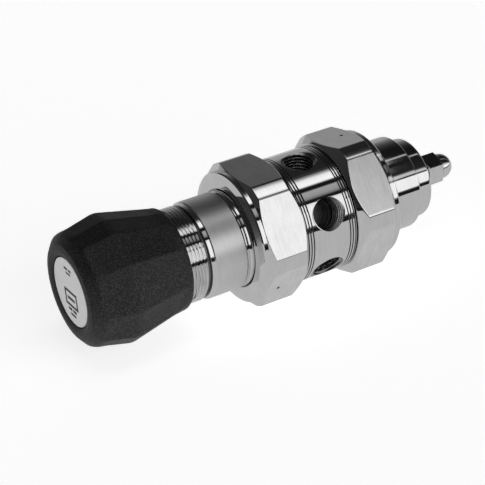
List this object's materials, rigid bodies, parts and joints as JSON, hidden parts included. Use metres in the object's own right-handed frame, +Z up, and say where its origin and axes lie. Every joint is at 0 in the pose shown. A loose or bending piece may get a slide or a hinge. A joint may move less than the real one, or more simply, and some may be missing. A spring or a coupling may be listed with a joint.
{
  "type": "gas regulator",
  "caption": "Two-stage in-line gas pressure regulator: round steel body with side ports, hex cap nuts, threaded panel-mount bonnet with a black hand knob, and an acorn-capped preset stage.",
  "frame": {"origin": "on the regulator's turning axis, at the middle of its length from the knob's front rim to the acorn nut's tip", "axes": "+X along the axis from the hand knob to the acorn nut; +Z up, as the regulator lies on its two cap nuts with a gauge port near the top; clock angles turn about X from +Z towards -Y"},
  "size_m": [0.1766, 0.0588, 0.0554],
  "materials": {
    "polished_steel": "turned and polished stainless steel",
    "brushed_steel": "milled and satin-brushed stainless steel",
    "spring_steel": "drawn spring wire and strip",
    "black_plastic": "fine moulded texture, satin black",
    "silver_label": "satin printed disc",
    "brass": "turned brass",
    "seat_polymer": "machined hard polymer",
    "black_rubber": "matt elastomer",
    "sintered_steel": "porous sintered steel"
  },
  "bodies": {
    "root": {"body": "polished_steel", "inlet_filter": "sintered_steel", "second_stage_cap_nut": "brushed_steel", "first_stage_cap_nut": "brushed_steel", "second_stage_bonnet": "polished_steel", "first_stage_bonnet": "polished_steel", "second_stage_diaphragm": "spring_steel", "first_stage_diaphragm": "spring_steel", "second_stage_range_spring": "spring_steel", "first_stage_range_spring": "spring_steel", "first_stage_spring_button": "brushed_steel", "second_stage_seat": "seat_polymer", "second_stage_seat_retainer": "brass", "second_stage_seat_seal_ring": "black_rubber", "second_stage_poppet_spring": "spring_steel", "first_stage_seat": "seat_polymer", "first_stage_seat_retainer": "brass", "first_stage_seat_seal_ring": "black_rubber", "first_stage_poppet_spring": "spring_steel", "preset_screw": "brushed_steel", "seal_washer": "black_rubber", "jam_nut": "polished_steel", "acorn_nut": "polished_steel"},
    "range_carrier": {"second_stage_spring_button": "brushed_steel", "thrust_ball": "polished_steel"},
    "adjuster": {"knob": "black_plastic", "knob_label_disc": "silver_label", "knob_insert": "brass", "knob_screw": "spring_steel", "adjusting_screw": "brushed_steel"},
    "second_stage_valve": {"second_stage_poppet": "polished_steel", "second_stage_diaphragm_plate": "brushed_steel"},
    "first_stage_valve": {"first_stage_poppet": "polished_steel", "first_stage_diaphragm_plate": "brushed_steel"}
  },
  "joints": [
    {"name": "range_spring_travel", "type": "slide", "parent": "root", "child": "range_carrier", "axis": [1, 0, 0], "range_m": [0, 0.00635], "deforming": ["second_stage_range_spring"]},
    {"name": "knob_turn", "type": "hinge", "parent": "range_carrier", "child": "adjuster", "pos_m": [-0.06, 0, 0], "axis": [1, 0, 0], "range_deg": [0, 2160]},
    {"name": "second_stage_valve_lift", "type": "slide", "parent": "root", "child": "second_stage_valve", "axis": [1, 0, 0], "range_m": [0, 0.0004], "stiffness_N_per_m": 1500, "springref_m": -0.002, "deforming": ["second_stage_poppet_spring"]},
    {"name": "first_stage_valve_lift", "type": "slide", "parent": "root", "child": "first_stage_valve", "axis": [-1, 0, 0], "range_m": [0, 0.0004], "stiffness_N_per_m": 1500, "springref_m": -0.002, "deforming": ["first_stage_poppet_spring", "first_stage_range_spring"]}
  ],
  "couplings": [
    {"joint": "range_spring_travel", "follows": "knob_turn", "m_per_rad": 0.00016843}
  ]
}
